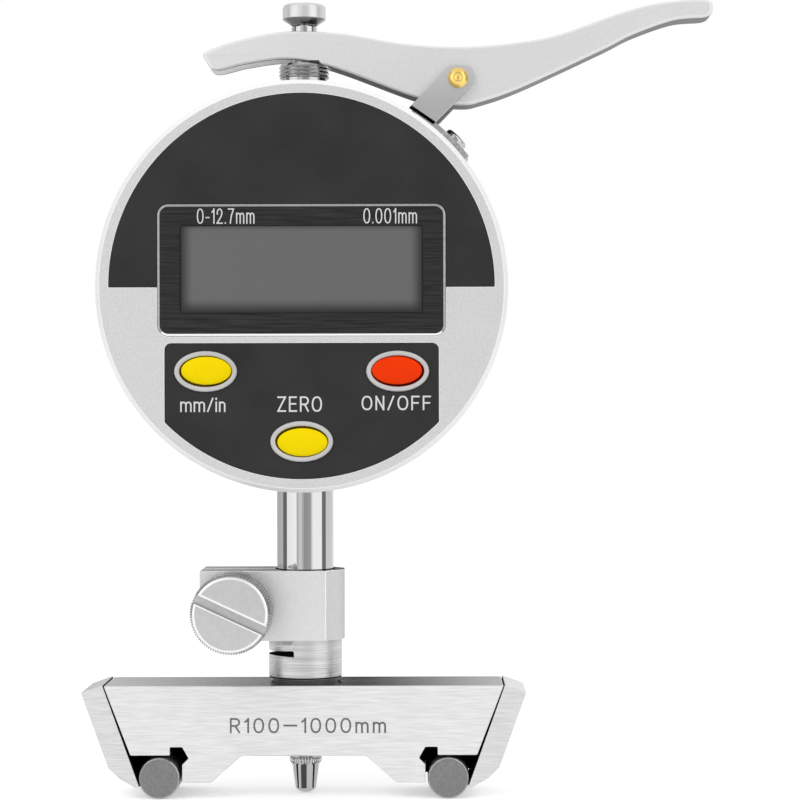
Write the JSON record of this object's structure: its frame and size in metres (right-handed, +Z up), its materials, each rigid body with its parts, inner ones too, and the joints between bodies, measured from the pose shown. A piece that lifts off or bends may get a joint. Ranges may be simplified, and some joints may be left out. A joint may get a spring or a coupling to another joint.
{
  "type": "digital radius gauge",
  "caption": "Round digital indicator with a lift lever, held upright by a clamp in a steel base whose rollers straddle a curved surface to measure its radius.",
  "frame": {"origin": "on the ground, under the middle of the gauge's outline as seen from above; the stem's axis stands at X -13.3 mm, Y 2.7 mm", "axes": "+Z up along the spindle, -Y the way the display faces, +X towards the lift lever's thumb end"},
  "size_m": [0.0888, 0.0244, 0.112],
  "materials": {
    "brushed_steel": "ground and brushed",
    "roller_steel": "ground, dull grey ends",
    "black_steel": "blackened",
    "satin_steel": "satin",
    "knob_steel": "satin with bright edges",
    "polished_steel": "polished",
    "spring_steel": "drawn wire",
    "brass": "turned",
    "silver_paint": "fine-grained silver",
    "dark_panel": "matte",
    "black_frame": "fine brushed black",
    "display_glass": "clear over grey",
    "yellow_key": "satin",
    "red_key": "satin",
    "circuit_board": "solder mask",
    "aluminium": "turned",
    "cast_lever": "cast and satin painted"
  },
  "bodies": {
    "base": {"base_bar": "brushed_steel", "side_plate_left": "brushed_steel", "side_plate_right": "brushed_steel", "plate_screw_left": "black_steel", "plate_screw_right": "black_steel", "roller_left": "roller_steel", "roller_right": "roller_steel", "stem_clamp": "satin_steel"},
    "clamp_knob": {"clamp_screw": "knob_steel"},
    "stem": {"stem_tube": "polished_steel", "lower_bush": "brass"},
    "indicator": {"front_case": "silver_paint", "face_plate": "dark_panel", "keypad_plate": "dark_panel", "display_frame": "black_frame", "lcd_module": "display_glass", "main_board": "circuit_board", "sensor_board": "circuit_board", "guide_rail": "satin_steel", "upper_bush": "satin_steel", "lever_bracket": "cast_lever", "bracket_screw": "polished_steel", "pivot_pin": "brass", "rear_cover": "silver_paint", "rear_screw_1": "polished_steel", "rear_screw_2": "polished_steel", "rear_screw_3": "polished_steel", "rear_screw_4": "polished_steel", "battery": "polished_steel", "return_spring": "spring_steel"},
    "plunger": {"spindle": "polished_steel", "scale_carrier": "black_frame", "guide_pin": "polished_steel", "plunger_cap": "aluminium", "contact_point": "polished_steel"},
    "lever": {"lift_lever": "cast_lever"},
    "unit_key": {"unit_button": "yellow_key"},
    "power_key": {"power_button": "red_key"},
    "zero_key": {"zero_button": "yellow_key"},
    "battery_lid": {"battery_cover": "silver_paint"}
  },
  "joints": [
    {"name": "clamp_turn", "type": "hinge", "parent": "base", "child": "clamp_knob", "pos_m": [-0.02295, 0.0027, 0.0264], "axis": [0, 1, 0], "range_deg": [-180, 0]},
    {"name": "stem_slide", "type": "slide", "parent": "base", "child": "stem", "axis": [0, 0, 1], "range_m": [-0.002, 0.006]},
    {"name": "indicator_turn", "type": "hinge", "parent": "stem", "child": "indicator", "pos_m": [-0.0133, 0.0027, 0.0464], "axis": [0, 0, 1], "range_deg": [-90, 90]},
    {"name": "spindle_slide", "type": "slide", "parent": "indicator", "child": "plunger", "axis": [0, 0, 1], "range_m": [0, 0.0127], "stiffness_N_per_m": 50, "springref_m": -0.016, "deforming": ["return_spring"]},
    {"name": "lever_turn", "type": "hinge", "parent": "indicator", "child": "lever", "pos_m": [0.00847, 0.0027, 0.1009], "axis": [0, 1, 0], "range_deg": [0, 32]},
    {"name": "unit_press", "type": "slide", "parent": "indicator", "child": "unit_key", "axis": [0, 1, 0], "range_m": [0, 0.0005], "stiffness_N_per_m": 2000, "springref_m": -0.0002},
    {"name": "power_press", "type": "slide", "parent": "indicator", "child": "power_key", "axis": [0, 1, 0], "range_m": [0, 0.0005], "stiffness_N_per_m": 2000, "springref_m": -0.0002},
    {"name": "zero_press", "type": "slide", "parent": "indicator", "child": "zero_key", "axis": [0, 1, 0], "range_m": [0, 0.0005], "stiffness_N_per_m": 2000, "springref_m": -0.0002},
    {"name": "battery_lid_turn", "type": "hinge", "parent": "indicator", "child": "battery_lid", "pos_m": [-0.0133, 0.012, 0.063], "axis": [0, 1, 0], "range_deg": [0, 60]}
  ],
  "couplings": [
    {"joint": "lever_turn", "follows": "spindle_slide", "rad_per_m": 43.86}
  ]
}
